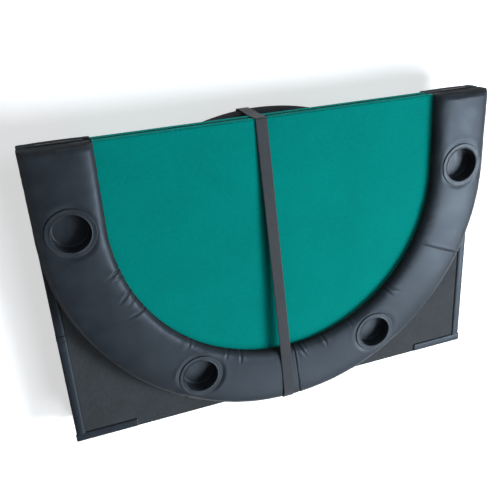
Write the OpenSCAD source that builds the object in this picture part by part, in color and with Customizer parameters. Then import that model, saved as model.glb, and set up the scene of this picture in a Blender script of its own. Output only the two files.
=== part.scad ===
// Folding poker table top: an oval top in three hinged panels, folded flat into
// a stack and held by a webbing strap. All lengths are in millimetres.
// The folded stack lies on its feet: X runs along the fold lines, Z is up.

/* [Table] */
// Width of the table, also the width of the folded stack
table_w = 900; // [800:10:1100]
// Length of the middle panel, from fold line to fold line
middle_l = 600; // [500:10:700]
// Thickness of one panel, from its underside to the top of its rail
panel_t = 40; // [36:1:50]
// Gap between the two undersides that face each other when folded
under_gap = 5.3; // [5.3:0.1:9]
// Gap between the two rails that face each other when folded
face_gap = 3; // [2.8:0.1:4]
// Height of the rubber feet
foot_h = 5; // [4:0.1:5]

/* [Rail] */
// Width of the padded rail
rail_w = 120; // [100:1:140]
// Rounding of the rail's edge beside the cloth
rail_in_r = 14; // [8:1:16]
// Rounding of the rail's outer edge
rail_out_r = 16; // [8:1:16]
// Thickness of the rail's vinyl cover
vinyl_t = 1; // [0.8:0.1:1.5]
// Width of the vinyl folded under the board
hem_w = 18; // [12:1:30]

/* [Playing surface] */
// Thickness of the board
board_t = 12; // [9:1:15]
// Thickness of the wooden strip inside the rail
strip_t = 12; // [9:1:14]
// Thickness of the foam under the cloth
pad_t = 3; // [2:0.5:5]
// Thickness of the cloth
cloth_t = 1; // [0.8:0.1:1.5]

/* [Cup holders] */
// Outer diameter of the cup holder's flange
flange_d = 88; // [80:1:100]
// Inner diameter of the cup holder
cup_d = 68; // [60:1:74]
// Depth of the cup holder, from flange to floor
cup_depth = 26; // [22:1:26]
// Height of the flange above the rail
flange_up = 1.4; // [0.5:0.1:1.6]
// Distance from the fold line to the nearest cup holders of an end panel
cup_side = 145; // [110:1:160]
// Angle between the centre line and the cup holders at the end
cup_angle = 30; // [20:1:40]

/* [Strap] */
// Width of the webbing strap
strap_w = 23; // [20:1:38]
// Thickness of the webbing strap
strap_t = 1.6; // [1.2:0.1:2.5]
// How far the strap slants sideways from one fold line to the other
strap_slant = 22; // [0:1:40]

/* [Hinges] */
// Distance of the end hinges from the centre line
hinge_x = 390; // [200:10:400]
// Width of one hinge
hinge_w = 60; // [40:2:80]
// Radius of the hinge knuckles
knuckle_r = 2.4; // [2.2:0.1:2.4]

/* [Hidden] */
$fn = 64;
half_w = table_w / 2;
side_l = middle_l - half_w;
in_r = half_w - rail_w;
skin_t = 0.6;
// heights inside one panel, measured up from its underside
board_z = vinyl_t + skin_t;
top_z = board_z + board_t;
pad_z = top_z + pad_t;
cloth_z = pad_z + cloth_t;
strip_z = top_z + strip_t;
flange_t = 2.2;
flange_z = panel_t + flange_up - flange_t;
cup_wall = 1.6;
cup_out = cup_d / 2 + cup_wall;
dish_r = flange_d / 2 + 0.6;
rail_mid = half_w - rail_w / 2;
// heights in the stack
rear_z = foot_h;
face_z = rear_z + panel_t + face_gap / 2;
mid_z = rear_z + 2 * panel_t + face_gap;
fold_z = mid_z + under_gap / 2;
front_z = mid_z + under_gap;
edge_y = middle_l / 2;
pin_r = 1.2;
pin_clear = 0.05;
leaf_t = 1.2;
screw_r = 1.6;
screw_l = 9;
// the pins stand just off the panel edges
fold_off = 0.3;
face_off = 2.1;

// ---- placing the panels ----
module rear_place() {
  translate([0, -edge_y, rear_z]) children();
}
module mid_place() {
  translate([0, edge_y, mid_z]) rotate([180, 0, 0]) children();
}
module front_place() {
  translate([0, edge_y, front_z]) rotate([0, 0, 180]) children();
}

// ---- sweeping a section along the rail ----
module side_run(y0, y1) {
  translate([0, y1, 0]) rotate([90, 0, 0]) linear_extrude(y1 - y0) children();
}
module end_run() {
  translate([0, side_l, 0]) rotate_extrude(angle = 180, $fn = 180) children();
}
module d_run(y0) {
  side_run(y0, side_l) children();
  mirror([1, 0, 0]) side_run(y0, side_l) children();
  end_run() children();
}
module d_plate(r, y0, z0, t) {
  translate([0, 0, z0]) linear_extrude(t) union() {
    translate([-r, y0]) square([2 * r, side_l - y0]);
    intersection() {
      translate([0, side_l]) circle(r, $fn = 180);
      translate([-r, side_l]) square([2 * r, r]);
    }
  }
}

// ---- rail sections, in distance from the middle and height ----
module rounded_block(r0, r1, z0, z1, ri, ro) {
  union() {
    translate([r0, z0]) square([r1 - r0, z1 - z0 - max(ri, ro)]);
    translate([r0 + ri, z0]) square([r1 - r0 - ri - ro, z1 - z0]);
    translate([r0 + ri, z1 - ri]) circle(ri);
    translate([r1 - ro, z1 - ro]) circle(ro);
    translate([r0, z1 - max(ri, ro) - 0.1]) square([ri, max(ri, ro) - ri + 0.1]);
  }
}
module cover_outline() {
  rounded_block(in_r, half_w, 0, panel_t, rail_in_r, rail_out_r);
}
module cover_section() {
  difference() {
    cover_outline();
    rounded_block(in_r + vinyl_t, half_w - vinyl_t, vinyl_t, panel_t - vinyl_t,
      rail_in_r - vinyl_t, rail_out_r - vinyl_t);
    translate([in_r - 1, -1]) square([rail_w - hem_w + 1, vinyl_t + 2]);
    translate([in_r - 1, -1]) square([vinyl_t + 2, top_z + 1]);
  }
}
module foam_section() {
  intersection() {
    rounded_block(in_r + vinyl_t, half_w - vinyl_t, vinyl_t, panel_t - vinyl_t,
      rail_in_r - vinyl_t, rail_out_r - vinyl_t);
    translate([in_r, strip_z]) square([rail_w, panel_t]);
  }
}
module strip_section() {
  translate([in_r + vinyl_t, top_z]) square([rail_w - 2 * vinyl_t - 0.2, strip_t]);
}

// ---- cup holders ----
end_cups = [
  [-rail_mid, cup_side],
  [-rail_mid * sin(cup_angle), side_l + rail_mid * cos(cup_angle)],
  [rail_mid * sin(cup_angle), side_l + rail_mid * cos(cup_angle)],
  [rail_mid, cup_side]
];
mid_cups = [[-rail_mid, middle_l / 2], [rail_mid, middle_l / 2]];
face_screw_z = strip_z - 4;
module at_cup(p) {
  translate([p[0], p[1], 0]) children();
}
module at_cups(list) {
  for (p = list) at_cup(p) children();
}
module cup_hole() {
  translate([0, 0, top_z - 1]) cylinder(h = panel_t, r = cup_out + 0.6);
}
module dish_cut(r) {
  translate([0, 0, flange_z - (r > dish_r ? vinyl_t : 0)]) cylinder(h = 10, r = r);
}
module dish() {
  difference() {
    translate([0, 0, flange_z - vinyl_t])
      cylinder(h = panel_t - flange_z + vinyl_t, r = dish_r + vinyl_t);
    dish_cut(dish_r);
    cup_hole();
  }
}
module cup() {
  floor_z = panel_t + flange_up - cup_depth;
  difference() {
    union() {
      translate([0, 0, floor_z - cup_wall])
        cylinder(h = panel_t + flange_up - floor_z + cup_wall, r = cup_out);
      translate([0, 0, flange_z]) cylinder(h = flange_t, r = flange_d / 2);
    }
    translate([0, 0, floor_z]) cylinder(h = cup_depth + 1, r = cup_d / 2);
    // raised lip between two shallow steps in the flange
    translate([0, 0, panel_t + flange_up - 0.6]) difference() {
      cylinder(h = 1, r = flange_d / 2 - 2);
      translate([0, 0, -0.5]) cylinder(h = 2, r = cup_d / 2 + 2);
    }
  }
}

// ---- layers of an end panel ----
module end_board() {
  color("burlywood") d_plate(half_w - vinyl_t, vinyl_t, board_z, board_t);
}
module end_backing() {
  color("dimgray") d_plate(half_w - 4, vinyl_t, vinyl_t, skin_t);
}
module end_strip() {
  color("tan") difference() {
    d_run(vinyl_t) strip_section();
    at_cups(end_cups) cup_hole();
  }
}
// pilot holes for the screws of the hinges under a panel, along its fold line
module under_pilots() {
  for (x = [-hinge_x, hinge_x], s = [-20, 20]) translate([x + s, 17 - fold_off, 0])
    cylinder(h = vinyl_t + screw_l, r = screw_r);
}
// pilot holes for the screws of the hinges on the rail ends
module face_pilots() {
  for (x = [-rail_mid, rail_mid], s = [-20, 20])
    translate([x + s, screw_l - leaf_t, face_screw_z]) rotate([90, 0, 0])
      cylinder(h = screw_l + 2, r = screw_r);
}
module end_foam() {
  color("khaki") difference() {
    d_run(vinyl_t) foam_section();
    at_cups(end_cups) cup_hole();
    at_cups(end_cups) dish_cut(dish_r + vinyl_t);
  }
}
module end_cover() {
  color([0.13, 0.14, 0.16]) {
    difference() {
      union() {
        d_run(vinyl_t) cover_section();
        end_caps();
      }
      at_cups(end_cups) dish_cut(dish_r + vinyl_t);
    }
    at_cups(end_cups) dish();
  }
}
module end_caps() {
  side_run(0, vinyl_t) cap_section();
  mirror([1, 0, 0]) side_run(0, vinyl_t) cap_section();
}
module cap_section() {
  difference() {
    cover_outline();
    translate([in_r - 1, -1]) square([vinyl_t + 2, top_z + 1]);
    translate([in_r - 1, -1]) square([rail_w - hem_w + 1, vinyl_t + 1]);
  }
}
module end_pad() {
  color("ivory") d_plate(in_r - 0.5, cloth_t, top_z, pad_t);
}
module end_cloth() {
  color([0.0, 0.52, 0.46]) {
    d_plate(in_r - 0.2, 0, pad_z, cloth_t);
    translate([0.2 - in_r, 0, board_z])
      cube([2 * in_r - 0.4, cloth_t, pad_z - board_z + 0.1]);
  }
}

// ---- layers of the middle panel ----
module sides(y0, y1) {
  side_run(y0, y1) children();
  mirror([1, 0, 0]) side_run(y0, y1) children();
}
module middle_board() {
  mid_place() color("burlywood") difference() {
    translate([vinyl_t - half_w, vinyl_t, board_z])
      cube([table_w - 2 * vinyl_t, middle_l - 2 * vinyl_t, board_t]);
    under_pilots();
  }
}
module middle_backing() {
  mid_place() color("dimgray") difference() {
    translate([4 - half_w, vinyl_t, vinyl_t])
      cube([table_w - 8, middle_l - 2 * vinyl_t, skin_t]);
    under_pilots();
  }
}
module middle_strips() {
  mid_place() color("tan") difference() {
    sides(vinyl_t, middle_l - vinyl_t) strip_section();
    at_cups(mid_cups) cup_hole();
    mid_far_edge() face_pilots();
  }
}
module middle_foam() {
  mid_place() color("khaki") difference() {
    sides(vinyl_t, middle_l - vinyl_t) foam_section();
    at_cups(mid_cups) cup_hole();
    at_cups(mid_cups) dish_cut(dish_r + vinyl_t);
  }
}
module middle_cover() {
  mid_place() color([0.13, 0.14, 0.16]) {
    difference() {
      union() {
        sides(vinyl_t, middle_l - vinyl_t) cover_section();
        sides(0, vinyl_t) cap_section();
        sides(middle_l - vinyl_t, middle_l) cap_section();
        // hem folded under the ends of the rails, away from the fold hinges
        sides(middle_l - hem_w, middle_l) hem_section();
      }
      at_cups(mid_cups) dish_cut(dish_r + vinyl_t);
      mid_far_edge() face_pilots();
    }
    at_cups(mid_cups) dish();
  }
}
// the middle panel's other fold line
module mid_far_edge() {
  translate([0, middle_l, 0]) rotate([0, 0, 180]) children();
}
module hem_section() {
  translate([in_r + vinyl_t + 2, 0]) square([rail_w - vinyl_t - 2, vinyl_t]);
}
module middle_pad() {
  mid_place() color("ivory") translate([0.5 - in_r, cloth_t, top_z])
    cube([2 * in_r - 1, middle_l - 2 * cloth_t, pad_t]);
}
module middle_cloth() {
  mid_place() color([0.0, 0.52, 0.46]) {
    translate([0.2 - in_r, 0, pad_z]) cube([2 * in_r - 0.4, middle_l, cloth_t]);
    for (y = [0, middle_l - cloth_t]) translate([0.2 - in_r, y, board_z])
      cube([2 * in_r - 0.4, cloth_t, pad_z - board_z + 0.1]);
  }
}

// ---- front panel ----
module front_board() {
  front_place() difference() {
    end_board();
    color("burlywood") under_pilots();
  }
}
module front_backing() {
  front_place() difference() {
    end_backing();
    color("dimgray") under_pilots();
  }
}
module front_strip() { front_place() end_strip(); }
module front_foam() { front_place() end_foam(); }
module front_cover() { front_place() end_cover(); }
module front_pad() { front_place() end_pad(); }
module front_cloth() { front_place() end_cloth(); }

// ---- rear panel ----
module rear_board() { rear_place() end_board(); }
module rear_backing() { rear_place() end_backing(); }
module rear_strip() {
  rear_place() difference() {
    end_strip();
    color("tan") face_pilots();
  }
}
module rear_foam() { rear_place() end_foam(); }
module rear_cover() {
  rear_place() difference() {
    end_cover();
    color([0.13, 0.14, 0.16]) face_pilots();
  }
}
module rear_pad() { rear_place() end_pad(); }
module rear_cloth() { rear_place() end_cloth(); }

// ---- cup holders, one node each ----
module black_cup(p) { color([0.09, 0.09, 0.1]) at_cup(p) cup(); }
module cup_front_1() { front_place() black_cup(end_cups[3]); }
module cup_front_2() { front_place() black_cup(end_cups[2]); }
module cup_front_3() { front_place() black_cup(end_cups[1]); }
module cup_front_4() { front_place() black_cup(end_cups[0]); }
module cup_middle_1() { mid_place() black_cup(mid_cups[0]); }
module cup_middle_2() { mid_place() black_cup(mid_cups[1]); }
module cup_rear_1() { rear_place() black_cup(end_cups[0]); }
module cup_rear_2() { rear_place() black_cup(end_cups[1]); }
module cup_rear_3() { rear_place() black_cup(end_cups[2]); }
module cup_rear_4() { rear_place() black_cup(end_cups[3]); }

// ---- feet: rubber discs glued under the boards ----
module foot() {
  color([0.08, 0.08, 0.08]) translate([0, 0, -foot_h]) {
    cylinder(h = foot_h + vinyl_t, r = 11);
    translate([0, 0, foot_h]) cylinder(h = vinyl_t, r = 12);
  }
}
module end_feet() {
  for (p = [[-360, 60], [360, 60], [-230, 380], [230, 380]])
    translate([p[0], p[1], 0]) foot();
}
module rear_feet() { rear_place() end_feet(); }
module front_feet() { front_place() end_feet(); }
module middle_feet() {
  mid_place() for (p = [[-400, 110], [400, 110], [-250, 490], [250, 490]])
    translate([p[0], p[1], 0]) foot();
}

// ---- hinges ----
module knuckles(k) {
  for (i = k) translate([-hinge_w / 2 + i * hinge_w / 5 + 0.1, 0, 0])
    rotate([0, 90, 0]) cylinder(h = hinge_w / 5 - 0.2, r = knuckle_r);
}
module pin_bore() {
  translate([-hinge_w, 0, 0]) rotate([0, 90, 0])
    cylinder(h = 2 * hinge_w, r = pin_r + pin_clear);
}
module pin() {
  translate([-hinge_w / 2, 0, 0]) rotate([0, 90, 0])
    cylinder(h = hinge_w, r = pin_r);
}
// clear of the other leaf's knuckles
module knuckle_room(k) {
  for (i = [0 : 4]) if (len(search(i, k)) == 0)
    translate([-hinge_w / 2 + i * hinge_w / 5 - 0.1, -knuckle_r - 0.2, -knuckle_r - 0.4])
      cube([hinge_w / 5 + 0.2, 2 * knuckle_r + 0.4, 2 * knuckle_r + 2]);
}
module screw() {
  translate([0, 0, -screw_l]) cylinder(h = screw_l, r = screw_r - 0.05);
  translate([0, 0, -0.8]) cylinder(h = 0.8, r = 2.55);
}
module screw_cut() {
  translate([0, 0, -5]) cylinder(h = 10, r = screw_r);
  translate([0, 0, -0.8]) cylinder(h = 5, r = 2.6);
}

// between the undersides: each leaf lies flat on its own panel
module at_folds() {
  for (x = [-hinge_x, hinge_x]) translate([x, edge_y + fold_off, fold_z]) children();
}
fold_leaf_z = under_gap / 2 + vinyl_t;
module fold_leaf(k) {
  difference() {
    union() {
      translate([-hinge_w / 2, -26, -fold_leaf_z]) cube([hinge_w, 26, leaf_t]);
      knuckles(k);
      for (i = k) translate([-hinge_w / 2 + i * hinge_w / 5 + 0.1, -2.3, -fold_leaf_z])
        cube([hinge_w / 5 - 0.2, 2, fold_leaf_z]);
    }
    pin_bore();
    knuckle_room(k);
    for (x = [-20, 20]) translate([x, -17, leaf_t - fold_leaf_z]) screw_cut();
  }
}
module fold_screws() {
  for (x = [-20, 20]) translate([x, -17, leaf_t - fold_leaf_z]) screw();
}
module fold_leaves_front() {
  color("silver") at_folds() mirror([0, 0, 1]) fold_leaf([0, 2, 4]);
}
module fold_leaves_middle() { color("silver") at_folds() fold_leaf([1, 3]); }
module fold_pins() { color("gray") at_folds() pin(); }
module fold_screws_front() {
  color("gray") at_folds() mirror([0, 0, 1]) fold_screws();
}
module fold_screws_middle() { color("gray") at_folds() fold_screws(); }

// on the rail ends: the pins are level with the gap between the rails
module at_faces() {
  for (x = [-rail_mid, rail_mid]) translate([x, -edge_y - face_off, face_z])
    children();
}
face_leaf_z = panel_t + face_gap / 2 - face_screw_z;
module face_leaf(k) {
  difference() {
    union() {
      translate([-hinge_w / 2, face_off - leaf_t, -face_leaf_z - 7])
        cube([hinge_w, leaf_t, face_leaf_z + 3]);
      knuckles(k);
      for (i = k) translate([-hinge_w / 2 + i * hinge_w / 5 + 0.1, 0, -5])
        cube([hinge_w / 5 - 0.2, face_off, 5]);
    }
    pin_bore();
    knuckle_room(k);
    for (x = [-20, 20]) translate([x, face_off - leaf_t, -face_leaf_z])
      rotate([90, 0, 0]) screw_cut();
  }
}
module face_screws() {
  for (x = [-20, 20]) translate([x, face_off - leaf_t, -face_leaf_z])
    rotate([90, 0, 0]) screw();
}
module face_leaves_middle() {
  color("silver") at_faces() mirror([0, 0, 1]) face_leaf([1, 3]);
}
module face_leaves_rear() { color("silver") at_faces() face_leaf([0, 2, 4]); }
module face_pins() { color("gray") at_faces() pin(); }
module face_screws_middle() {
  color("gray") at_faces() mirror([0, 0, 1]) face_screws();
}
module face_screws_rear() { color("gray") at_faces() face_screws(); }

// ---- webbing strap round the stack ----
strap_gap = 0.5;
strap_x = -20;
strap_out = edge_y + strap_gap;
far_split = mid_z - 3;
near_split = mid_z - cloth_z - 0.6;
crown_z = front_z + panel_t + strap_gap;
lap_z = front_z + cloth_z + strap_gap;
// side view of the whole loop, on the inside (0) or the outside (strap_t)
module strap_line(o) {
  a = strap_out + o;
  polygon([
    [a, rear_z - 0.5], [a, lap_z + o - 0.2], [a - 0.6, lap_z + o + 0.1],
    [in_r - edge_y - 215, crown_z + o], [14.5 - a, crown_z + o],
    [4 - a, crown_z - 3.6 + o], [-a, crown_z - 14], [-a, rear_z - 0.5],
    [0.6 - a, rear_z - 1 - o], [a - 0.6, rear_z - 1 - o]
  ]);
}
module strap_loop() {
  difference() {
    strap_line(strap_t);
    strap_line(0);
  }
}
// the part of the loop that stays with the rear panel, grown by g
module rear_part(g) {
  translate([0, -5]) square([strap_out + 5, near_split + 5 + g]);
  translate([-strap_out - 5, -5]) square([strap_out + 6, far_split + 5 + g]);
}
module strap_track(z0, z1) {
  d = strap_slant / 2;
  translate([strap_x, 0, z0]) linear_extrude(z1 - z0) polygon([
    [d - strap_w / 2, -edge_y - 9], [d + strap_w / 2, -edge_y - 9],
    [strap_w / 2 - d, edge_y + 9], [-d - strap_w / 2, edge_y + 9]
  ]);
}
module across() {
  rotate([90, 0, 90]) translate([0, 0, -100]) linear_extrude(200) children();
}
module strap_upper() {
  color([0.32, 0.33, 0.35]) intersection() {
    across() difference() {
      strap_loop();
      rear_part(0.4);
    }
    strap_track(0, crown_z + 5);
  }
}
module strap_lower() {
  color([0.32, 0.33, 0.35]) intersection() {
    across() intersection() {
      strap_loop();
      rear_part(0);
    }
    strap_track(0, crown_z + 5);
  }
}
// the end of the strap, lapped back on itself with hook and loop tape
module strap_tail() {
  z1 = rear_z - 1 - strap_t;
  color([0.2, 0.2, 0.22]) intersection() {
    translate([-50, -170, z1 - 1.2]) cube([100, 150, 1.2]);
    strap_track(0, z1);
  }
}

front_board();
front_backing();
front_strip();
front_foam();
front_cover();
front_pad();
front_cloth();
front_feet();
cup_front_1();
cup_front_2();
cup_front_3();
cup_front_4();
middle_board();
middle_backing();
middle_strips();
middle_foam();
middle_cover();
middle_pad();
middle_cloth();
middle_feet();
cup_middle_1();
cup_middle_2();
rear_board();
rear_backing();
rear_strip();
rear_foam();
rear_cover();
rear_pad();
rear_cloth();
rear_feet();
cup_rear_1();
cup_rear_2();
cup_rear_3();
cup_rear_4();
fold_leaves_front();
fold_leaves_middle();
fold_pins();
fold_screws_front();
fold_screws_middle();
face_leaves_middle();
face_leaves_rear();
face_pins();
face_screws_middle();
face_screws_rear();
strap_upper();
strap_lower();
strap_tail();
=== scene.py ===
"""Folding poker table top, folded flat and strapped: the visual model.

Lengths are in metres in the row frame. Every panel is built in its own local
frame, with its fold line along y = 0 and its underside at z = 0, and is then
placed in the stack.
"""

import math

import bpy
import numpy as np
from mathutils import Matrix, Vector, noise


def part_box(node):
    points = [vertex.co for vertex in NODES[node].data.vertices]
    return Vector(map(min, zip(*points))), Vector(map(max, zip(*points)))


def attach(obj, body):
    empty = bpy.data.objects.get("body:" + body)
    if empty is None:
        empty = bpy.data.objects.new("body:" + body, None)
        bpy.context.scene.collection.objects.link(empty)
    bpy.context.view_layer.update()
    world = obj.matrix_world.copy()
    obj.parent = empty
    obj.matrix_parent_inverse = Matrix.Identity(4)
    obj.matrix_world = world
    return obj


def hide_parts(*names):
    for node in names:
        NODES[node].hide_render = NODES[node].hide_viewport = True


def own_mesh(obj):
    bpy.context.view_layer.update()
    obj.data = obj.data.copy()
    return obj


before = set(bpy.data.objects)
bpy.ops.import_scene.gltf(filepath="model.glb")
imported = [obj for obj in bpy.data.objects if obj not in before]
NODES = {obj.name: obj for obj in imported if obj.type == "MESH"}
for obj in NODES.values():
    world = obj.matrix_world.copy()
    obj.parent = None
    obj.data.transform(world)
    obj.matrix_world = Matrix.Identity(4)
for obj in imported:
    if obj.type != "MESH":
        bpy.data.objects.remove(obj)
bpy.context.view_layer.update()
MM = 0.001

# ---- sizes, read from the CAD ----
lo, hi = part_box("front_cover")
HALF_W = hi[0]
PANEL_T = hi[2] - lo[2]
IN_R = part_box("front_cloth")[1][0] + 0.2 * MM
EDGE_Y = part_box("middle_board")[1][1] + 1 * MM
LEN = 2 * EDGE_Y
SIDE_L = LEN - HALF_W
FRONT_Z = lo[2]
MID_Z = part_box("middle_cover")[1][2]
REAR_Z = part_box("rear_cover")[0][2]
CLOTH_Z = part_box("front_cloth")[1][2] - FRONT_Z
CUP_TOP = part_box("cup_front_1")[1][2] - FRONT_Z
CUP_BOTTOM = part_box("cup_front_1")[0][2] - FRONT_Z
FLANGE_R = (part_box("cup_front_1")[1][0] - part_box("cup_front_1")[0][0]) / 2
CUP_R = 34 * MM
MID_R = (HALF_W + IN_R) / 2

PLACE = {
    "front": Matrix.Translation((0, EDGE_Y, FRONT_Z)) @ Matrix.Rotation(math.pi, 4, "Z"),
    "middle": Matrix.Translation((0, EDGE_Y, MID_Z)) @ Matrix.Rotation(math.pi, 4, "X"),
    "rear": Matrix.Translation((0, -EDGE_Y, REAR_Z)),
}


def cup_place(node):
    """The centre of a cup holder in its panel's local frame."""
    a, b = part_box(node)
    panel = node.split("_")[1]
    c = PLACE[panel].inverted() @ Vector(((a[0] + b[0]) / 2, (a[1] + b[1]) / 2, 0))
    return (c.x, c.y)


CUPS = {n: cup_place(n) for n in NODES if n.startswith("cup_")}


# ---- mesh helpers ----
def smooth(x):
    x = np.clip(x, 0.0, 1.0)
    return x * x * (3 - 2 * x)


def fbm(points, scale, seed, octaves=2):
    """Smooth noise about 0 at each point, for bumps of about `scale` metres."""
    out = np.zeros(len(points))
    shift = Vector((seed * 7.13, seed * 3.71, seed * 1.37))
    for i, p in enumerate(points):
        v = Vector(p) / scale + shift
        a, total = 1.0, 0.0
        for _ in range(octaves):
            total += a * noise.noise(v)
            v, a = v * 2.03, a * 0.5
        out[i] = total
    return out


def spline(points, n, closed=False):
    """A Catmull-Rom curve through 2-D or 3-D points, at n even steps along it."""
    p = np.array(points, float)
    k = len(p)
    ids = lambda i: i % k if closed else min(max(i, 0), k - 1)
    fine = []
    for i in range(k if closed else k - 1):
        a, b, c, d = (p[ids(i + j)] for j in (-1, 0, 1, 2))
        for t in np.linspace(0, 1, 24, endpoint=False):
            fine.append(
                0.5 * (2 * b + (c - a) * t + (2 * a - 5 * b + 4 * c - d) * t * t
                       + (3 * b - a - 3 * c + d) * t ** 3)
            )
    fine.append(p[0] if closed else p[-1])
    fine = np.array(fine)
    run = np.r_[0, np.cumsum(np.linalg.norm(np.diff(fine, axis=0), axis=1))]
    at = np.linspace(0, run[-1], n + (1 if closed else 0))
    if closed:
        at = at[:-1]
    return np.stack([np.interp(at, run, fine[:, j]) for j in range(p.shape[1])], 1)


def grid_mesh(name, v, closed_u=False, closed_v=False, uv=None, flip=False, keep=None):
    """A mesh from a grid of points, v[i][j]. keep says which faces are made."""
    nu, nv = v.shape[:2]
    iu = np.arange(nu if closed_u else nu - 1)
    jv = np.arange(nv if closed_v else nv - 1)
    i, j = np.meshgrid(iu, jv, indexing="ij")
    i2, j2 = (i + 1) % nu, (j + 1) % nv
    faces = np.stack([i * nv + j, i2 * nv + j, i2 * nv + j2, i * nv + j2], -1).reshape(-1, 4)
    if flip:
        faces = faces[:, ::-1]
    if keep is not None:
        ok = keep.reshape(-1)
        faces = faces[ok[faces].all(1)]
    mesh = bpy.data.meshes.new(name)
    mesh.from_pydata(v.reshape(-1, 3).tolist(), [], faces.tolist())
    if uv is not None:
        layer = mesh.uv_layers.new(name="UVMap")
        idx = np.zeros(len(mesh.loops), np.int32)
        mesh.loops.foreach_get("vertex_index", idx)
        layer.data.foreach_set("uv", uv.reshape(-1, 2)[idx].astype(np.float32).ravel())
    mesh.polygons.foreach_set("use_smooth", [True] * len(mesh.polygons))
    mesh.update()
    return mesh


def add(name, mesh, body, material, place=None, replaces=()):
    """A new piece that rides on a body and stands for the CAD nodes it replaces."""
    if place is not None:
        mesh.transform(place)
    o = bpy.data.objects.new(name, mesh)
    bpy.context.scene.collection.objects.link(o)
    mesh.materials.append(material)
    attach(o, body)
    if replaces:
        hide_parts(*replaces)
    return o


# ---- materials ----
def new_material(name, color, rough):
    m = bpy.data.materials.new(name)
    m.use_nodes = True
    b = m.node_tree.nodes["Principled BSDF"]
    b.inputs["Base Color"].default_value = (*color, 1)
    b.inputs["Roughness"].default_value = rough
    return m, m.node_tree, b


def coords(t, kind="Object", scale=(1, 1, 1)):
    c = t.nodes.new("ShaderNodeTexCoord")
    mp = t.nodes.new("ShaderNodeMapping")
    mp.inputs["Scale"].default_value = scale
    t.links.new(c.outputs[kind], mp.inputs["Vector"])
    return mp.outputs["Vector"]


def noise_tex(t, vec, scale, detail=3.0, rough=0.5):
    n = t.nodes.new("ShaderNodeTexNoise")
    n.inputs["Scale"].default_value = scale
    n.inputs["Detail"].default_value = detail
    n.inputs["Roughness"].default_value = rough
    t.links.new(vec, n.inputs["Vector"])
    return n.outputs["Fac"]


def ramp(t, fac, stops):
    r = t.nodes.new("ShaderNodeValToRGB")
    e = r.color_ramp.elements
    while len(e) < len(stops):
        e.new(0.5)
    for k, (pos, col) in enumerate(stops):
        e[k].position = pos
        e[k].color = (*col, 1)
    t.links.new(fac, r.inputs["Fac"])
    return r.outputs["Color"]


def mapped(t, fac, a, b, lo_in=0.0, hi_in=1.0):
    r = t.nodes.new("ShaderNodeMapRange")
    for k, x in zip(("From Min", "From Max", "To Min", "To Max"), (lo_in, hi_in, a, b)):
        r.inputs[k].default_value = x
    t.links.new(fac, r.inputs["Value"])
    return r.outputs["Result"]


def math_node(t, op, a, b=None):
    n = t.nodes.new("ShaderNodeMath")
    n.operation = op
    for k, x in enumerate((a, b)):
        if x is None:
            continue
        if isinstance(x, (int, float)):
            n.inputs[k].default_value = x
        else:
            t.links.new(x, n.inputs[k])
    return n.outputs["Value"]


def bump(t, b, height, strength, distance):
    n = t.nodes.new("ShaderNodeBump")
    n.inputs["Strength"].default_value = strength
    n.inputs["Distance"].default_value = distance
    t.links.new(height, n.inputs["Height"])
    t.links.new(n.outputs["Normal"], b.inputs["Normal"])


def vinyl_material(name, dark, light, rough, shine):
    """Satin upholstery vinyl with a fine leather grain."""
    m, t, b = new_material(name, dark, rough)
    v = coords(t)
    cells = t.nodes.new("ShaderNodeTexVoronoi")
    cells.feature = "DISTANCE_TO_EDGE"
    cells.inputs["Scale"].default_value = 620
    t.links.new(v, cells.inputs["Vector"])
    fine = noise_tex(t, v, 1500, 2)
    broad = noise_tex(t, v, 22, 4, 0.6)
    t.links.new(ramp(t, broad, [(0.3, dark), (0.7, light)]), b.inputs["Base Color"])
    # the upright faces are rubbed duller than the crown
    normal = t.nodes.new("ShaderNodeSeparateXYZ")
    t.links.new(coords(t, "Normal"), normal.inputs["Vector"])
    upright = math_node(t, "ABSOLUTE", normal.outputs["Z"])
    dull = mapped(t, upright, 0.45, 0.0, 0.2, 0.6)
    satin = mapped(t, broad, rough - 0.05, rough + 0.07, 0.3, 0.7)
    t.links.new(math_node(t, "ADD", satin, dull), b.inputs["Roughness"])
    grain = math_node(t, "ADD", math_node(t, "MULTIPLY", cells.outputs["Distance"], 2.5),
                      math_node(t, "MULTIPLY", fine, 0.35))
    bump(t, b, grain, 0.22, 0.25 * MM)
    b.inputs["Specular IOR Level"].default_value = shine
    b.inputs["Specular Tint"].default_value = (0.68, 0.84, 1.0, 1)
    return m


def cloth_material(name, dark, light):
    """Short brushed cloth: fine fibres, faint mottling and a soft sheen."""
    m, t, b = new_material(name, dark, 0.95)
    v = coords(t)
    fibre = noise_tex(t, coords(t, scale=(1, 0.35, 1)), 900, 3, 0.7)
    weave = noise_tex(t, v, 330, 2, 0.6)
    broad = noise_tex(t, v, 9, 3, 0.55)
    mix = math_node(t, "ADD", math_node(t, "MULTIPLY", fibre, 0.45),
                    math_node(t, "ADD", math_node(t, "MULTIPLY", weave, 0.35),
                              math_node(t, "MULTIPLY", broad, 0.2)))
    t.links.new(ramp(t, mix, [(0.36, dark), (0.64, light)]), b.inputs["Base Color"])
    bump(t, b, mix, 0.35, 0.5 * MM)
    b.inputs["Specular IOR Level"].default_value = 0.05
    return m


def backing_material(name, dark, light):
    """Matt non-woven cloth with random matted fibres."""
    m, t, b = new_material(name, dark, 0.9)
    v = coords(t)
    a = noise_tex(t, coords(t, scale=(1, 0.25, 1)), 420, 4, 0.7)
    c = noise_tex(t, coords(t, scale=(0.25, 1, 1)), 420, 4, 0.7)
    broad = noise_tex(t, v, 14, 3, 0.6)
    mix = math_node(t, "ADD", math_node(t, "MULTIPLY", math_node(t, "ADD", a, c), 0.35),
                    math_node(t, "MULTIPLY", broad, 0.3))
    t.links.new(ramp(t, mix, [(0.38, dark), (0.62, light)]), b.inputs["Base Color"])
    bump(t, b, mix, 0.4, 0.4 * MM)
    b.inputs["Specular IOR Level"].default_value = 0.25
    return m


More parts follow.
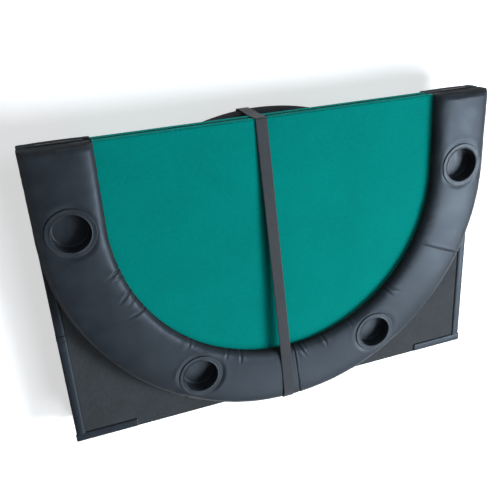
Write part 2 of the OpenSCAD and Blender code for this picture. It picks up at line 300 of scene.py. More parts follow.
def webbing_material(name, dark, light):
    """Woven webbing: ribs across a herring-bone weave, from the strap's own UVs."""
    m, t, b = new_material(name, dark, 0.62)
    uv = t.nodes.new("ShaderNodeTexCoord").outputs["UV"]
    sep = t.nodes.new("ShaderNodeSeparateXYZ")
    t.links.new(uv, sep.inputs["Vector"])
    along = math_node(t, "MULTIPLY", sep.outputs["X"], 2 * math.pi / (1.6 * MM))
    across = math_node(t, "MULTIPLY", sep.outputs["Y"], 2 * math.pi / (2.1 * MM))
    w1 = math_node(t, "SINE", math_node(t, "ADD", along, across))
    w2 = math_node(t, "SINE", math_node(t, "SUBTRACT", along, across))
    weave = math_node(t, "MULTIPLY", math_node(t, "MAXIMUM", w1, w2), 0.5)
    fuzz = noise_tex(t, coords(t), 800, 3, 0.7)
    mix = math_node(t, "ADD", math_node(t, "MULTIPLY", weave, 0.55),
                    math_node(t, "MULTIPLY", fuzz, 0.55))
    t.links.new(ramp(t, mix, [(0.1, dark), (0.75, light)]), b.inputs["Base Color"])
    bump(t, b, mix, 0.6, 0.4 * MM)
    b.inputs["Sheen Weight"].default_value = 0.05
    b.inputs["Specular IOR Level"].default_value = 0.15
    return m


def plastic_material(name, dark, light, rough):
    """Moulded ABS with a faint spark-eroded texture and light scuffs."""
    m, t, b = new_material(name, dark, rough)
    v = coords(t)
    broad = noise_tex(t, v, 40, 3, 0.6)
    fine = noise_tex(t, v, 1800, 2)
    scuff = noise_tex(t, coords(t, scale=(1, 0.12, 1)), 260, 4, 0.75)
    t.links.new(ramp(t, broad, [(0.35, dark), (0.7, light)]), b.inputs["Base Color"])
    t.links.new(mapped(t, scuff, rough - 0.06, rough + 0.14, 0.35, 0.7), b.inputs["Roughness"])
    bump(t, b, fine, 0.12, 0.15 * MM)
    b.inputs["Specular IOR Level"].default_value = 0.36
    b.inputs["Specular Tint"].default_value = (0.75, 0.87, 1.0, 1)
    return m


def lacquer_material(name, dark, light):
    """Black lacquer on steel, with worn, duller patches."""
    m, t, b = new_material(name, dark, 0.35)
    wear = noise_tex(t, coords(t), 160, 4, 0.65)
    orange = noise_tex(t, coords(t), 700, 2, 0.5)
    t.links.new(ramp(t, wear, [(0.4, dark), (0.68, light)]), b.inputs["Base Color"])
    t.links.new(mapped(t, wear, 0.28, 0.5, 0.35, 0.7), b.inputs["Roughness"])
    bump(t, b, orange, 0.15, 0.1 * MM)
    return m


def wood_material(name, dark, light, chips):
    """Raw wood: particle board, or timber with its grain along y."""
    m, t, b = new_material(name, dark, 0.75)
    v = coords(t, scale=(1, 0.3, 1) if not chips else (1, 1, 1))
    n = noise_tex(t, v, 260 if chips else 60, 5, 0.7)
    f = noise_tex(t, coords(t), 900, 3, 0.6)
    mix = math_node(t, "ADD", math_node(t, "MULTIPLY", n, 0.7), math_node(t, "MULTIPLY", f, 0.3))
    t.links.new(ramp(t, mix, [(0.36, dark), (0.64, light)]), b.inputs["Base Color"])
    bump(t, b, mix, 0.3, 0.3 * MM)
    return m


def rubber_material(name, dark, light):
    """Matt rubber with a rough, mottled surface."""
    m, t, b = new_material(name, dark, 0.7)
    n = noise_tex(t, coords(t), 500, 4, 0.7)
    t.links.new(ramp(t, n, [(0.35, dark), (0.7, light)]), b.inputs["Base Color"])
    bump(t, b, n, 0.25, 0.2 * MM)
    return m


VINYL = vinyl_material("vinyl", (0.019, 0.023, 0.029), (0.028, 0.034, 0.042), 0.42, 0.32)
# a copy of the vinyl with almost no sheen, put on the rails' upright faces as painted shade
VINYL_SHADE = vinyl_material("vinyl_painted_shade", (0.024, 0.026, 0.028), (0.038, 0.041, 0.045), 0.6, 0.04)
CLOTH = cloth_material("cloth_green", (0.0, 0.185, 0.16), (0.0, 0.26, 0.226))
BACKING = backing_material("backing_cloth", (0.034, 0.039, 0.042), (0.052, 0.059, 0.065))
WEB = webbing_material("webbing", (0.022, 0.024, 0.027), (0.086, 0.094, 0.104))
TAPE = webbing_material("hook_tape", (0.015, 0.015, 0.018), (0.05, 0.05, 0.055))
PLASTIC = plastic_material("cup_plastic", (0.02, 0.025, 0.031), (0.034, 0.041, 0.05), 0.42)
STEEL = lacquer_material("hinge_lacquer", (0.016, 0.016, 0.018), (0.03, 0.03, 0.032))
PIN = lacquer_material("pin_lacquer", (0.014, 0.014, 0.015), (0.028, 0.028, 0.03))
SCREW = lacquer_material("screw_lacquer", (0.02, 0.02, 0.021), (0.045, 0.044, 0.043))
CHIPBOARD = wood_material("board", (0.3, 0.19, 0.1), (0.55, 0.4, 0.24), True)
TIMBER = wood_material("rail_wood", (0.36, 0.22, 0.11), (0.6, 0.42, 0.25), False)
RUBBER = rubber_material("foot_rubber", (0.012, 0.012, 0.012), (0.03, 0.03, 0.03))

# ---- rail covers ----
# Outline of the padded rail: distance from its inner edge, and height. The last
# points are the hem, a puffed strip folded under the board.
PROFILE = [
    (3.4, 16.6), (0.6, 18.2), (-0.6, 22.0), (0.1, 27.5), (3.4, 32.7), (9.8, 36.8),
    (22.0, 39.3), (40.0, 40.5), (60.0, 40.9), (82.0, 40.3), (98.0, 38.7),
    (109.8, 36.2), (116.7, 31.8), (120.0, 25.6), (120.6, 16.0), (120.5, 8.0),
    (120.4, 2.4),
    (119.8, 0.2), (117.8, -1.2), (111.0, -1.9), (104.6, -1.3), (102.4, 0.0),
    (101.9, 1.6), (101.6, 4.0), (96.0, 6.5), (60.0, 7.0), (20.0, 7.0), (8.0, 8.0),
    (4.6, 12.0),
]
RING = 104                  # points round the outline
GRID = 5.0 * MM             # spacing of the cloth that is inflated
HELD_Z = 17.5 * MM          # the cloth is held below this height
HELD_END = 9 * MM           # and this far in from each end
PRESSURE = 4
EXTRA_CUT = 0.07            # share that the gathered cloth is cut too long
FRAMES = 20
MAX_MOVE = 3.0 * MM         # furthest the cloth may carry a point
END_R = 12 * MM             # rounding of a rail's ends
END_FACE = 0.9 * MM         # run that counts as the end itself
CROWN_LIMIT = 41.2 * MM
CUP_SEAT = 39.0 * MM        # height of the cover under a cup's flange
CUP_HOLE_R = 37.5 * MM
CUP_DENT_R = 53 * MM        # where the cover starts to sink towards the seat
HEM_W = 18 * MM


def profile(n):
    return spline(np.array(PROFILE) * MM, n, closed=True)


def normals_2d(p):
    t = np.roll(p, -1, 0) - np.roll(p, 1, 0)
    nrm = np.stack([-t[:, 1], t[:, 0]], 1)
    return nrm / np.linalg.norm(nrm, axis=1)[:, None]


def samples(length, step, marks):
    """Places along a run: even steps, closer together at the ends and at marks."""
    s = list(np.linspace(0, length, int(length / step) + 1))
    for q in (0.8 * MM, *np.linspace(0, 14 * MM, 15)):
        s += [q, length - q]
    for m in marks:
        s += list(m + np.linspace(-9 * MM, 9 * MM, 25))
    s = np.unique(np.round(np.clip(s, 0, length), 5))
    keep = np.r_[True, np.diff(s) > 0.15 * MM]
    return s[keep]


def end_path(s, u):
    """Local x, y of a point of an end panel's rail, from run s and distance u."""
    bend = math.pi * MID_R
    r = IN_R + u
    a = np.clip((s - SIDE_L) / MID_R, 0, math.pi)
    x = r * np.cos(a)
    y = SIDE_L + r * np.sin(a)
    y = np.where(s < SIDE_L, s, y)
    y = np.where(s > SIDE_L + bend, 2 * SIDE_L + bend - s, y)
    return x, y


def side_path(sign):
    return lambda s, u: (sign * (IN_R + u), s)


def cubic_weights(x, n, closed):
    """Rows of Catmull-Rom weights that read n even samples at places x."""
    w = np.zeros((len(x), n))
    for r, q in enumerate(x):
        i = int(math.floor(q))
        t = q - i
        c = (-t + 2 * t * t - t ** 3, 2 - 5 * t * t + 3 * t ** 3,
             t + 4 * t * t - 3 * t ** 3, t ** 3 - t * t)
        for k, a in enumerate(c):
            j = i - 1 + k
            j = j % n if closed else min(max(j, 0), n - 1)
            w[r, j] += 0.5 * a
    return w


def puff(path, length, slack, flip):
    """Inflate a rail's cover as cloth and return how far it moves, on an even grid.

    The cover is held along its hem, its tuck beside the cloth and its ends. It is
    cut a little long where it is gathered round the inside of the bend (slack), so
    the pressure of the foam makes it pucker there.
    """
    n = RING // 2
    prof = profile(n)
    s = np.linspace(0, length, int(length / GRID) + 1)
    S, J = np.meshgrid(s, np.arange(n), indexing="ij")
    u, z = prof[J, 0], prof[J, 1]
    jitter = fbm(np.stack([S, u * 0.4, z], -1).reshape(-1, 3), 0.02, 9, 1).reshape(S.shape)
    nrm = normals_2d(prof)
    x, y = path(S, u + 0.4 * MM * jitter * nrm[J, 0])
    body = np.stack([x, y, z + 0.4 * MM * jitter * nrm[J, 1]], -1)
    cap = [np.repeat(body[k].mean(0)[None], n, 0)[None] for k in (0, -1)]
    v = np.concatenate([cap[0], body, cap[1]])
    mesh = grid_mesh("cover_cloth", v, closed_v=True, flip=flip)
    o = bpy.data.objects.new("cover_cloth", mesh)
    bpy.context.scene.collection.objects.link(o)
    held = (z < HELD_Z) | (S < HELD_END) | (S > length - HELD_END)
    loose = np.exp(-((u - 4 * MM) / (16 * MM)) ** 2) * (z > 17 * MM) * slack(S)
    full = np.ones(v.shape[:2], bool)
    full[1:-1] = held
    soft = np.zeros(v.shape[:2])
    soft[1:-1] = loose
    for name, w in (("held", full.astype(float)), ("loose", soft)):
        g = o.vertex_groups.new(name=name)
        for i, a in enumerate(w.reshape(-1)):
            if a > 0.01:
                g.add([i], float(a), "REPLACE")
    mod = o.modifiers.new("cloth", "CLOTH")
    st = mod.settings
    st.quality = 6
    st.mass = 0.4
    st.tension_stiffness = st.compression_stiffness = 30
    st.shear_stiffness = 10
    st.bending_stiffness = 0.6
    st.use_pressure = True
    st.uniform_pressure_force = PRESSURE
    st.effector_weights.gravity = 0
    st.vertex_group_mass = "held"
    st.vertex_group_shrink = "loose"
    st.shrink_min = 0.0
    st.shrink_max = -EXTRA_CUT
    scene = bpy.context.scene
    for f in range(1, FRAMES + 1):
        scene.frame_set(f)
    got = o.evaluated_get(bpy.context.evaluated_depsgraph_get()).to_mesh()
    co = np.zeros(len(got.vertices) * 3)
    got.vertices.foreach_get("co", co)
    move = (co.reshape(v.shape) - v)[1:-1]
    scene.frame_set(1)
    bpy.data.objects.remove(o)
    bpy.data.meshes.remove(mesh)
    far = np.linalg.norm(move, axis=-1, keepdims=True)
    return move * np.minimum(1, MAX_MOVE / np.maximum(far, 1e-9))


def build_cover(name, path, length, cups, creases, seams, laps, seed, flip, slack):
    """A padded vinyl rail as one closed skin, with puckers, creases and seams."""
    n = RING
    prof = profile(n)
    nrm = normals_2d(prof)
    marks = [c[0] for c in creases] + [q[0] for q in seams] + list(laps)
    s = samples(length, 4.0 * MM, marks)
    S, J = np.meshgrid(s, np.arange(n), indexing="ij")
    u, z = prof[J, 0].copy(), prof[J, 1].copy()
    nu, nz = nrm[J, 0], nrm[J, 1]
    top = smooth((z - 24 * MM) / (10 * MM))
    inner = np.exp(-((u - 4 * MM) / (15 * MM)) ** 2) * smooth((z - 17 * MM) / (6 * MM))
    outer = np.exp(-((u - 120 * MM) / (12 * MM)) ** 2) * smooth((z - 3 * MM) / (8 * MM))

    x0, y0 = path(S, u)
    pts = np.stack([x0, y0, z], -1).reshape(-1, 3)
    out = np.zeros(S.shape)
    out += 0.75 * MM * fbm(pts, 0.11, seed, 2).reshape(S.shape) * top
    run = np.stack([S, u * 0.35, z * 0.2], -1).reshape(-1, 3)
    pucker = fbm(run, 0.017, seed + 3, 2).reshape(S.shape)
    patch = smooth(fbm(run, 0.16, seed + 5, 1).reshape(S.shape) * 1.6 + 0.45)
    out += 0.8 * MM * pucker * inner * patch
    out += 0.4 * MM * pucker * outer
    # creases at the inner edge: place, reach across the rail, depth, slant
    for s0, reach, depth, slant in creases:
        line = s0 + slant * (u - 5 * MM)
        d = (S - line) / (3.0 * MM)
        g = smooth((reach - u) / (0.8 * reach)) * smooth((z - 17 * MM) / (5 * MM))
        out += 0.7 * depth * g * (-np.exp(-d * d) + 0.5 * np.exp(-((np.abs(d) - 2.2) / 1.4) ** 2))
    # seams right across the rail, with the stitched edge lapped over
    for s0, slant in seams:
        line = s0 + slant * u
        d = (S - line) / MM
        g = smooth((z - 8 * MM) / (6 * MM))
        out += MM * g * (-1.3 * np.exp(-(d / 1.1) ** 2) + 0.55 * smooth(1 - np.abs(d - 5) / 5))
        out += MM * g * -0.35 * np.exp(-((d - 7.5) / 0.9) ** 2)
    # laps where one length of hem is tucked under the next
    for s0 in laps:
        d = np.abs(S - s0) / MM
        step = 0.9 * smooth((5.5 - d) / 1.0) - 0.7 * np.exp(-((d - 6.2) / 0.9) ** 2)
        out += MM * (z < 1 * MM) * step
    # rounded ends
    near = np.minimum(S, length - S)
    inset = END_R - np.sqrt(np.maximum(END_R ** 2 - np.maximum(END_R - near, 0) ** 2, 0))
    out -= inset * smooth((z - 22 * MM) / (16 * MM))
    u = u + nu * out
    z = z + nz * out
    # at each end the cover is folded down over the end of the board
    z = np.where(z < 0, z * smooth(near / (6 * MM)), z)
    under = (u < 102.6 * MM) & (z > -0.4 * MM) & (z < 15 * MM) & (near < END_FACE)
    z = np.where(under, 0.5 * MM, z)
    u = np.where(under, u - 5.4 * MM * smooth((12 * MM - u) / (7.4 * MM)), u)
    corner = (u < 7 * MM) & (z < 21 * MM) & (near < END_FACE)
    u = np.where(corner, -0.5 * MM, u)
    x, y = path(S, u)
    # the shape the cover takes as cloth
    move = puff(path, length, slack, flip)
    ws = cubic_weights(s / length * (move.shape[0] - 1), move.shape[0], False)
    wj = cubic_weights(np.arange(n) * move.shape[1] / n, move.shape[1], True)
    fine = np.einsum("ai,bj,ijk->abk", ws, wj, move)
    crown = np.clip((z - 33 * MM) / (6 * MM), 0, 1)
    lift = np.where(fine[..., 2] > 0, fine[..., 2] * (1 - 0.9 * crown), fine[..., 2])
    x, y, z = x + fine[..., 0], y + fine[..., 1], z + lift
    # the cover is pressed down under each cup holder's flange
    gone = np.zeros(S.shape, bool)
    for cx, cy in cups:
        d = np.hypot(x - cx, y - cy)
        high = z > 26 * MM
        swell = 0.35 * MM * np.exp(-((d - 52 * MM) / (6 * MM)) ** 2)
        w = smooth((CUP_DENT_R - d) / (9 * MM))
        z = np.where(high, z * (1 - w) + CUP_SEAT * w + swell * top, z)
        gone |= high & (d < CUP_HOLE_R)
    z = np.minimum(z, CROWN_LIMIT)
    body = np.stack([x, y, z], -1)
    ends = []
    for row in (0, -1):
        ring = body[row]
        centre = ring.mean(0)
        ends.append([centre + (ring - centre) * f for f in (0.0, 0.35, 0.7, 0.93)])
    v = np.concatenate([np.array(ends[0]), body, np.array(ends[1][::-1])])
    pad = np.zeros((4, n), bool)
    keep = ~np.concatenate([pad, gone, pad])
    mesh = grid_mesh(name, v, closed_v=True, flip=flip, keep=keep)
    # the walls, the outer rounding and the folded ends take the vinyl copy with almost no sheen:
    # painted shade on the faces that stand upright
    for face in mesh.polygons:
        c = face.center
        across = abs(c.x) if path is not end_path else math.hypot(c.x, max(c.y - SIDE_L, 0))
        face.material_index = int(abs(face.normal.z) < (0.8 if across > MID_R else 0.5))
    return mesh


RUN = 2 * SIDE_L + math.pi * MID_R
FRONT_CREASES = [
    (0.247, 0.030, 1.5 * MM, 0.25), (0.262, 0.024, 1.0 * MM, 0.1), (0.302, 0.034, 1.7 * MM, 0.35),
    (0.322, 0.022, 0.9 * MM, 0.2), (0.356, 0.040, 1.8 * MM, -0.3), (0.635, 0.026, 1.2 * MM, 0.1),
    (0.600, 0.022, 0.8 * MM, -0.2), (0.788, 0.034, 1.6 * MM, 0.5), (0.800, 0.024, 1.1 * MM, 0.3),
    (0.852, 0.028, 1.3 * MM, 0.2), (0.930, 0.020, 0.8 * MM, 0.0), (1.063, 0.034, 2.2 * MM, 0.3),
    (1.050, 0.028, 1.7 * MM, 0.1), (0.500, 0.020, 0.8 * MM, 0.2), (1.128, 0.020, 0.7 * MM, 0.2),
    (1.215, 0.018, 0.7 * MM, 0.1), (1.238, 0.022, 0.9 * MM, 0.3), (1.262, 0.018, 0.6 * MM, 0.0),
    (1.290, 0.020, 0.7 * MM, 0.2),
]
rng = np.random.default_rng(11)
REAR_CREASES = [
    (float(q), 0.022 + 0.012 * float(rng.random()), (0.8 + float(rng.random())) * MM, 0.3)
    for q in np.linspace(0.2, RUN - 0.2, 13)
]


def bend_slack(s):
    """Slack of an end panel's cover: all of it is in the bend, in patches."""
    first = smooth((s - SIDE_L + 40 * MM) / (80 * MM))
    last = smooth((RUN - SIDE_L + 40 * MM - s) / (80 * MM))
    return first * last * (0.55 + 0.45 * np.sin(s / 0.031) * np.sin(s / 0.083 + 1))


def side_slack(s):
    """Slack of a middle panel's cover: a little, all the way along."""
    return np.full_like(s, 0.12)


end_cups = {p: [c for n, c in CUPS.items() if n.startswith("cup_" + p)] for p in PLACE}

cover = build_cover("front_rail", end_path, RUN, end_cups["front"], FRONT_CREASES,
                    [(1.193, 0.05), (0.771, 0.06)], [], 1, False, bend_slack)
front_rail = add("front_rail", cover, "front", VINYL, PLACE["front"],
                 ("front_cover", "front_foam"))
cover = build_cover("rear_rail", end_path, RUN, end_cups["rear"], REAR_CREASES,
                    [(0.42, 0.05), (1.05, 0.05)], [], 2, False, bend_slack)
rear_rail = add("rear_rail", cover, "rear", VINYL, PLACE["rear"],
                ("rear_cover", "rear_foam"))
rails = [front_rail, rear_rail]
for sign, side in ((-1, "left"), (1, "right")):
    cups = [c for c in end_cups["middle"] if c[0] * sign > 0]
    creases = [(q, 0.024, 0.8 * MM, 0.2) for q in (0.12, 0.31, 0.47)]
    cover = build_cover("middle_rail_" + side, side_path(sign), LEN, cups, creases,
                        [(0.355 if sign < 0 else 0.21, 0.0)], [0.362] if sign < 0 else [],
                        4 + sign, sign < 0, side_slack)
    rails.append(add("middle_rail_" + side, cover, "middle", VINYL, PLACE["middle"],
                     ("middle_cover", "middle_foam") if sign < 0 else ()))
# each rail's second slot holds the vinyl copy that paints shade on its upright faces
for r in rails:
    r.data.materials.append(VINYL_SHADE)


def build_hem(name, x0, x1):
    """A puffed strip of vinyl folded under the middle panel's end, below a rail."""
    ring = spline(np.array([
        (0.2, 1.0), (0.1, -0.4), (1.0, -1.6), (4.0, -2.1), (9.0, -2.3), (14.0, -2.0),
        (17.0, -1.1), (17.8, 0.3), (17.6, 1.2), (9.0, 1.4)]) * MM, 40, closed=True)
    ends = (x0 + 1 * MM, x0 + 3 * MM, x1 - 1 * MM, x1 - 3 * MM)
    xs = np.unique(np.r_[np.linspace(x0, x1, 40), ends])
    mid = np.array([9 * MM, -0.3 * MM])
    rows = []
    for x in xs:
        near = min(x - x0, x1 - x)
        f = math.sqrt(max(0.02, 1 - max(0, 1 - near / (3 * MM)) ** 2))
        rows.append([(x, LEN - HEM_W + (mid[0] + (p[0] - mid[0]) * (0.85 + 0.15 * f)),
                      mid[1] + (p[1] - mid[1]) * f) for p in ring])
    v = np.array(rows)
    v[..., 2] += 0.25 * MM * fbm(v.reshape(-1, 3), 0.02, 41, 2).reshape(v.shape[:2])
    return grid_mesh(name, v, closed_v=True)


for side, x0, x1 in (("left", -452 * MM, -327 * MM), ("right", 327 * MM, 452 * MM)):
    add("middle_hem_" + side, build_hem("middle_hem_" + side, x0, x1), "middle",
        VINYL, PLACE["middle"])


# ---- playing cloths ----
TUCK = 1.5 * MM             # how far the cloth goes in under the rail
FLAP = 16.5 * MM            # how far it is turned down at a fold edge
CLOTH_TURN = 2.6 * MM       # radius of that turn


def half_width(y, square):
    """Half the cloth's width at a distance from the fold line."""
    if square:
        return np.full_like(y, IN_R)
    d = np.clip(y - SIDE_L, 0, None)
    r = IN_R + TUCK
    return np.sqrt(np.maximum(r * r - d * d, 0))


def build_cloth(name, square, seed, dents=()):
    """Cloth over the board, turned down over the panel's fold edges."""
    r = CLOTH_TURN
    turn = [(a, r - r * math.cos(a), r - r * math.sin(a)) for a in np.linspace(0, math.pi / 2, 7)]
    rows = [(0.0, d) for d in np.linspace(-FLAP, -r, 7)]
    rows += [(yy, -zz) for _, yy, zz in turn[1:]]
    far = LEN if square else SIDE_L + IN_R + TUCK
    if square:
        inside = np.linspace(r + 4 * MM, far - r - 4 * MM, 120)
        rows += [(y, 0.0) for y in inside]
        rows += [(far - yy, -zz) for _, yy, zz in reversed(turn[1:])]
        rows += [(far, d) for d in np.linspace(-r, -FLAP, 7)]
    else:
        flat = np.linspace(r + 4 * MM, SIDE_L, 34)
        curve = SIDE_L + (far - SIDE_L) * np.sin(np.linspace(0, math.pi / 2, 80))[1:]
        rows += [(y, 0.0) for y in flat] + [(y, 0.0) for y in curve]
    ys = np.array([q[0] for q in rows])
    zs = np.array([q[1] for q in rows])
    w = half_width(ys, square)
    a = np.linspace(-1, 1, 151)
    X = w[:, None] * a[None, :]
    Y = np.repeat(ys[:, None], len(a), 1)
    Z = CLOTH_Z + np.repeat(zs[:, None], len(a), 1)
    flat = smooth((Y - 2 * MM) / (20 * MM)) * (smooth((far - Y) / (20 * MM)) if square else 1)
    pts = np.stack([X, Y, Z], -1).reshape(-1, 3)
    Z = Z + 0.35 * MM * fbm(pts, 0.09, seed, 2).reshape(X.shape) * flat
    for x0, width, depth, reach in dents:
        near = np.exp(-((X - x0) / width) ** 2) * np.exp(-np.maximum(Y, 0) / reach)
        Z = Z - depth * near * (zs[:, None] > -8 * MM)
        Y = Y + 0.6 * depth * near * (zs[:, None] < -1 * MM)
    v = np.stack([X, Y, Z], -1)
    return grid_mesh(name, v)


# where the strap presses on the fold edge: place, width, depth, reach
STRAP_DENT = (28 * MM, 20 * MM, 1.2 * MM, 30 * MM)
front_cloth = add("front_playing_cloth",
                  build_cloth("front_playing_cloth", False, 21, [STRAP_DENT]),
                  "front", CLOTH, PLACE["front"], ("front_cloth", "front_pad"))
rear_cloth = add("rear_playing_cloth", build_cloth("rear_playing_cloth", False, 22),
                 "rear", CLOTH, PLACE["rear"], ("rear_cloth", "rear_pad"))
middle_cloth = add("middle_playing_cloth", build_cloth("middle_playing_cloth", True, 23),
                   "middle", CLOTH, PLACE["middle"], ("middle_cloth", "middle_pad"))


# ---- cup holders ----
def lathe(name, points, turns=96):
    """A turned skin from a half section of (radius, height) points."""
    a = np.linspace(0, 2 * math.pi, turns, endpoint=False)
    p = np.array(points)
    v = np.stack([
        np.outer(np.cos(a), p[:, 0]), np.outer(np.sin(a), p[:, 0]),
        np.repeat(p[None, :, 1], turns, 0)], -1)
    return grid_mesh(name, v, closed_u=True)


def cup_profile():
    """Half section of the cup holder, from the flange's underside to the floor."""
    t, f, c, z0 = CUP_TOP / MM, FLANGE_R / MM + 0.1, CUP_R / MM, CUP_BOTTOM / MM
    pts = [
        (c + 1.6, z0 + 0.8), (c + 1.6, t - 3.2), (f - 6, t - 2.5), (f - 0.9, t - 2.5),
        (f - 0.1, t - 2.2), (f, t - 1.6), (f - 0.1, t - 0.9), (f - 0.5, t - 0.45),
        (f - 1.1, t - 0.3), (f - 2.0, t - 0.35), (f - 5.0, t - 0.5), (c + 2.6, t - 0.5),
        (c + 1.7, t - 0.35), (c + 1.2, t - 0.05), (c + 0.7, t), (c + 0.25, t - 0.25),
        (c, t - 0.9), (c - 0.1, t - 2.0), (c - 0.5, t - 10), (c - 1.0, z0 + 4.6),
        (c - 1.6, z0 + 2.6), (c - 2.8, z0 + 1.75), (c - 5.0, z0 + 1.6),
        (c - 14, z0 + 1.6), (c - 24, z0 + 1.65), (4, z0 + 1.6), (0.01, z0 + 1.6),
    ]
    return [(x * MM, z * MM) for x, z in pts]


def cup_under():
    """The underside of the cup holder, from its wall to the centre."""
    c, z0 = CUP_R / MM, CUP_BOTTOM / MM
    pts = [(c + 1.6, z0 + 0.8), (c + 1.2, z0 + 0.2), (c + 0.2, z0), (c - 12, z0), (0.01, z0)]
    return [(x * MM, z * MM) for x, z in pts]


for node, (cx, cy) in CUPS.items():
    panel = node.split("_")[1]
    path = list(reversed(cup_under())) + cup_profile()[1:]
    mesh = lathe(node.replace("cup", "cup_holder"), path)
    mesh.transform(Matrix.Translation((cx, cy, 0)))
    add(node.replace("cup", "cup_holder"), mesh, panel, PLASTIC,
        PLACE[panel], (node,))


# ---- strap ----
def box_x(node, y, tol=4 * MM):
    """Middle x of a strap node's points near y."""
    co = np.array([v.co for v in NODES[node].data.vertices])
    near = co[np.abs(co[:, 1] - y) < tol]
    return float((near[:, 0].min() + near[:, 0].max()) / 2)


X_BACK = box_x("strap_upper", -EDGE_Y)
X_FRONT = box_x("strap_upper", EDGE_Y)
STRAP_W = 23 * MM
STRAP_T = 1.6 * MM


def strap_line(points, n):
    """A centreline through (y, z), slanting sideways as the CAD strap does."""
    p = spline(np.array(points) * MM, n)
    x = X_BACK + (X_FRONT - X_BACK) * (p[:, 0] + EDGE_Y) / LEN
    return np.stack([x, p[:, 0], p[:, 1]], 1)


def ribbon(name, line, seed, wave=0.5 * MM):
    """A flat woven strap with rounded selvedges along a centreline."""
    n = len(line)
    t = np.gradient(line, axis=0)
    t /= np.linalg.norm(t, axis=1)[:, None]
    side = np.array([1.0, 0, 0])
    side = side - t * (t @ side)[:, None]
    side /= np.linalg.norm(side, axis=1)[:, None]
    up = np.cross(side, t)
    run = np.r_[0, np.cumsum(np.linalg.norm(np.diff(line, axis=0), axis=1))]
    w, h = STRAP_W / 2, STRAP_T / 2
    ring = [(-w + 0.5 * MM, h)] + [(x, h) for x in np.linspace(-w + 2 * MM, w - 2 * MM, 7)]
    ring += [(w - 0.5 * MM, h), (w, 0), (w - 0.5 * MM, -h)]
    ring += [(x, -h) for x in np.linspace(w - 2 * MM, -w + 2 * MM, 7)]
    ring += [(-w + 0.5 * MM, -h), (-w, 0)]
    ring = np.array(ring)
    bend = fbm(np.stack([run, run * 0, run * 0], 1), 0.08, seed, 2)
    bend *= smooth((EDGE_Y - np.abs(line[:, 1])) / (20 * MM))
    v = (line[:, None, :] + side[:, None, :] * ring[None, :, 0:1]
         + up[:, None, :] * (ring[None, :, 1:2] + (wave * bend)[:, None, None]
                             * (ring[None, :, 0:1] / w)))
    uv = np.zeros((n, len(ring), 2))
    uv[..., 0] = run[:, None]
    uv[..., 1] = ring[None, :, 0]
    return grid_mesh(name, v, closed_v=True, uv=uv)


# The loop in millimetres, seen from the side: y, z along the strap's middle. The two
# parts meet end to end, once at the front fold's edge and once at the back fold's.
SPLIT_GAP = 0.4
HALF_T = 0.8                # half the strap's thickness
SAMPLES = 320
a_out = EDGE_Y / MM + 0.95
front_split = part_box("strap_upper")[0][2] / MM
back_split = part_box("strap_lower")[1][2] / MM
lap = (FRONT_Z + CLOTH_Z) / MM + 0.5 + HALF_T
crown = (FRONT_Z + PANEL_T) / MM + 1.0 + HALF_T
upper = strap_line([
    (a_out, front_split), (a_out, front_split + 12), (a_out, lap - 14), (a_out, lap - 3),
    (a_out - 0.8, lap - 0.8), (a_out - 4, lap + 0.15), (a_out - 30, lap + 1.1),
    (150, lap + 7.4), (0, lap + 14.6), (-120, lap + 20.3), (-175, lap + 22.4),
    (-196, crown + 0.1), (-230, crown + 0.4), (-265, crown + 0.3), (-283, crown - 0.9),
    (-293, crown - 5.2), (-299.3, crown - 12.5), (-a_out, crown - 22),
    (-a_out, crown - 34), (-a_out, back_split + SPLIT_GAP)], SAMPLES)
strap_upper = add("strap_over", ribbon("strap_over", upper, 31), "middle", WEB,
                  None, ("strap_upper",))
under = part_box("strap_lower")[0][2] / MM + HALF_T
lower = strap_line([
    (a_out, front_split - SPLIT_GAP), (a_out + 0.2, front_split - 10), (a_out + 1.2, 45),
    (a_out + 1.6, 25), (a_out + 1.3, under + 10), (a_out + 0.7, under + 4),
    (a_out - 0.2, under + 0.9), (a_out - 3, under), (a_out - 12, under), (200, under),
    (0, under), (-200, under), (12 - a_out, under), (3 - a_out, under),
    (0.8 - a_out, under + 0.8), (-a_out, under + 3), (-a_out, under + 12), (-a_out, 50),
    (-a_out, back_split)], SAMPLES)
strap_lower = add("strap_under", ribbon("strap_under", lower, 32, 0.1 * MM), "rear",
                  WEB, None, ("strap_lower",))
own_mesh(strap_upper)
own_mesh(strap_lower)

# ---- CAD nodes that keep their shape ----
KEPT = {
    "_board": CHIPBOARD, "_backing": BACKING, "_strip": TIMBER, "_strips": TIMBER,
    "_feet": RUBBER,
}
LEAF_CLEARANCE = 0.05 * MM  # the leaves are drawn this much smaller all round
EDGE_ROUNDING = {"strip": 2.0 * MM, "feet": 1.0 * MM, "screws": 0.3 * MM, "tail": 0.3 * MM}
for n, o in NODES.items():
    if n == "strap_tail":
        mat = TAPE
    elif "leaves" in n:
        mat = STEEL
    elif "pins" in n:
        mat = PIN
    elif "screws" in n:
        mat = SCREW
    else:
        mat = next((m for k, m in KEPT.items() if n.endswith(k)), None)
    if mat is None:
        continue
    for k in range(len(o.material_slots)):
        o.material_slots[k].material = mat
    if "leaves" in n:
        mod = o.modifiers.new("clearance", "DISPLACE")
        mod.strength = -LEAF_CLEARANCE
        mod.mid_level = 0.0
    width = next((w for k, w in EDGE_ROUNDING.items() if k in n), None)
    if width is not None:
        mod = o.modifiers.new("edges", "BEVEL")
        mod.width = width
        mod.segments = 2
        mod.limit_method = "ANGLE"
        mod.angle_limit = math.radians(40)

# ---- floor, light and camera ----
FLOOR = 40
floor_mesh = bpy.data.meshes.new("floor")
corners = [(-FLOOR, -FLOOR, 0), (FLOOR, -FLOOR, 0), (FLOOR, FLOOR, 0), (-FLOOR, FLOOR, 0)]
floor_mesh.from_pydata(corners, [], [(0, 1, 2, 3)])
floor = bpy.data.objects.new("floor", floor_mesh)
bpy.context.scene.collection.objects.link(floor)
paper, _, pb = new_material("floor_paper", (0.9, 0.9, 0.9), 0.9)
pb.inputs["Specular IOR Level"].default_value = 0.0
pb.inputs["Emission Color"].default_value = (1, 1, 1, 1)
pb.inputs["Emission Strength"].default_value = 0.55
floor_mesh.materials.append(paper)


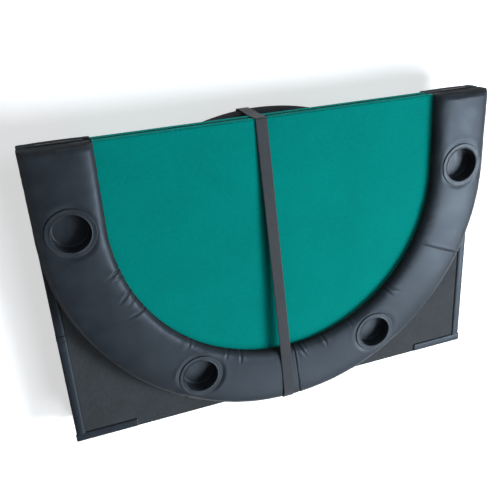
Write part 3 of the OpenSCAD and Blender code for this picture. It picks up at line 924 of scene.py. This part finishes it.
def area_light(name, place, aim, size, power, color=(1, 1, 1)):
    """A rectangular light at a place, turned to face aim."""
    d = bpy.data.lights.new(name, "AREA")
    d.shape = "RECTANGLE"
    d.size, d.size_y = size
    d.energy = power
    d.color = color
    o = bpy.data.objects.new(name, d)
    o.location = place
    o.rotation_euler = (Vector(aim) - Vector(place)).to_track_quat("-Z", "Y").to_euler()
    bpy.context.scene.collection.objects.link(o)


COOL = (0.88, 0.94, 1.0)
area_light("key", (2.0, -0.65, 2.1), (0.05, 0, 0.1), (1.15, 1.15), 92, COOL)
area_light("low", (0.95, -2.0, 2.1), (0.05, 0, 0.1), (1.5, 1.1), 34, COOL)
area_light("fill", (0.9, 1.5, 2.0), (0, 0, 0.1), (1.2, 1.2), 8, (0.9, 0.95, 1.0))
area_light("back", (-1.8, 1.6, 2.2), (-0.2, 0, 0), (1.6, 1.6), 4)

# the surroundings are bright near the horizon and dim above
world = bpy.data.worlds.new("studio")
bpy.context.scene.world = world
world.use_nodes = True
wt = world.node_tree
bg = wt.nodes["Background"]
bg.inputs["Color"].default_value = (0.93, 0.96, 1.0, 1)
direction = wt.nodes.new("ShaderNodeTexCoord").outputs["Generated"]
height = wt.nodes.new("ShaderNodeSeparateXYZ")
wt.links.new(direction, height.inputs["Vector"])
horizon = math_node(wt, "ABSOLUTE", height.outputs["Z"])
wt.links.new(mapped(wt, horizon, 0.62, 0.08, 0.0, 0.3), bg.inputs["Strength"])

# the camera fitted to the outlines of the panels in the photograph
cam = bpy.data.cameras.new("camera")
cam.sensor_width = 36
cam.lens = 45.28
cam.clip_end = 50
camera = bpy.data.objects.new("camera", cam)
right = Vector((0.9395, -0.0627, 0.3369)).normalized()
back = Vector((-0.2863, 0.3967, 0.8722)).normalized()
up = back.cross(right).normalized()
right = up.cross(back).normalized()
camera.matrix_world = Matrix.Translation((-0.4152, 0.5319, 1.1687)) @ Matrix(
    (right, up, back)).transposed().to_4x4()
bpy.context.scene.collection.objects.link(camera)
bpy.context.scene.camera = camera
bpy.context.scene.view_settings.view_transform = "Standard"
